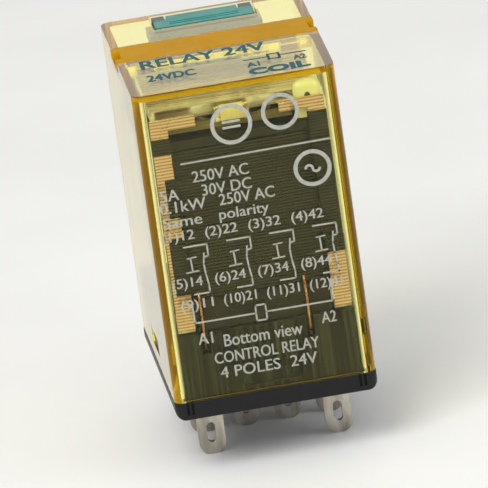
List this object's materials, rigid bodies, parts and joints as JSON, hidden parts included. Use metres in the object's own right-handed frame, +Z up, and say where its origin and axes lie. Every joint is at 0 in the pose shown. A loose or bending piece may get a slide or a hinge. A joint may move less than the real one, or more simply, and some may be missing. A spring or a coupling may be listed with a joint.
{
  "type": "plug-in control relay",
  "caption": "Plug-in control relay in an amber clear cover, with changeover contacts, flat blades, a latching test lever, an indicator light and a marking plate.",
  "frame": {"origin": "centre of the base underside, the face that seats on a socket", "axes": "+Z up out of the top of the cover, opposite to the blades; +X along the narrow face; -Y is the narrow face with the wiring side, next to the coil"},
  "size_m": [0.021, 0.0274, 0.0414],
  "materials": {
    "base_plastic": "moulded black",
    "amber_cover": "clear amber moulding",
    "tinned_blade": "dull tin",
    "bobbin_plastic": "moulded",
    "copper": "bright copper",
    "coil_tape": "smooth tape",
    "steel": "fine brushed",
    "spring_bronze": "satin",
    "card_plastic": "moulded",
    "contact_silver": "bright",
    "board": "solder resist",
    "led_lens": "clear moulding",
    "ceramic_chip": "smooth",
    "flag_plastic": "moulded",
    "button_plastic": "moulded",
    "lever_plastic": "moulded teal",
    "marking_plastic": "moulded yellow"
  },
  "bodies": {
    "relay_body": {"base_block": "base_plastic", "coil_bobbin": "bobbin_plastic", "coil_lead_left": "copper", "coil_lead_right": "copper", "coil_tape": "coil_tape", "coil_terminal_a1": "tinned_blade", "coil_terminal_a2": "tinned_blade", "coil_winding": "copper", "com_terminal_1": "tinned_blade", "com_terminal_2": "tinned_blade", "com_terminal_3": "tinned_blade", "com_terminal_4": "tinned_blade", "core": "steel", "cover": "amber_cover", "indicator_led": "led_lens", "led_board": "board", "led_lead_left": "spring_bronze", "led_lead_right": "spring_bronze", "nc_contact_1": "contact_silver", "nc_contact_2": "contact_silver", "nc_contact_3": "contact_silver", "nc_contact_4": "contact_silver", "nc_terminal_1": "tinned_blade", "nc_terminal_2": "tinned_blade", "nc_terminal_3": "tinned_blade", "nc_terminal_4": "tinned_blade", "no_contact_1": "contact_silver", "no_contact_2": "contact_silver", "no_contact_3": "contact_silver", "no_contact_4": "contact_silver", "no_terminal_1": "tinned_blade", "no_terminal_2": "tinned_blade", "no_terminal_3": "tinned_blade", "no_terminal_4": "tinned_blade", "pigtail_1": "copper", "pigtail_2": "copper", "pigtail_3": "copper", "pigtail_4": "copper", "return_spring": "spring_bronze", "series_resistor": "ceramic_chip", "yoke": "steel"},
    "armature_assembly": {"armature": "steel", "contact_card": "card_plastic", "indicator_flag": "flag_plastic", "moving_contact_1": "contact_silver", "moving_contact_2": "contact_silver", "moving_contact_3": "contact_silver", "moving_contact_4": "contact_silver", "moving_spring_1": "spring_bronze", "moving_spring_2": "spring_bronze", "moving_spring_3": "spring_bronze", "moving_spring_4": "spring_bronze"},
    "push_button": {"test_button": "button_plastic"},
    "lever": {"latch_lever": "lever_plastic"},
    "marking_tag": {"marking_plate": "marking_plastic"}
  },
  "joints": [
    {"name": "armature_pivot", "type": "hinge", "parent": "relay_body", "child": "armature_assembly", "pos_m": [0, 0.0029, 0.03075], "axis": [1, 0, 0], "range_deg": [0, 3], "stiffness_Nm_per_rad": 0.02, "springref_deg": -5.73},
    {"name": "button_press", "type": "slide", "parent": "relay_body", "child": "push_button", "axis": [0, 0, -1], "range_m": [0, 0.0012], "stiffness_N_per_m": 200, "springref_m": -0.0005},
    {"name": "lever_flip", "type": "hinge", "parent": "push_button", "child": "lever", "pos_m": [0, 0.01215, 0.0343], "axis": [-1, 0, 0], "range_deg": [0, 90]},
    {"name": "marking_plate_pull", "type": "slide", "parent": "relay_body", "child": "marking_tag", "axis": [0, 0, 1], "range_m": [0, 0.006]}
  ]
}
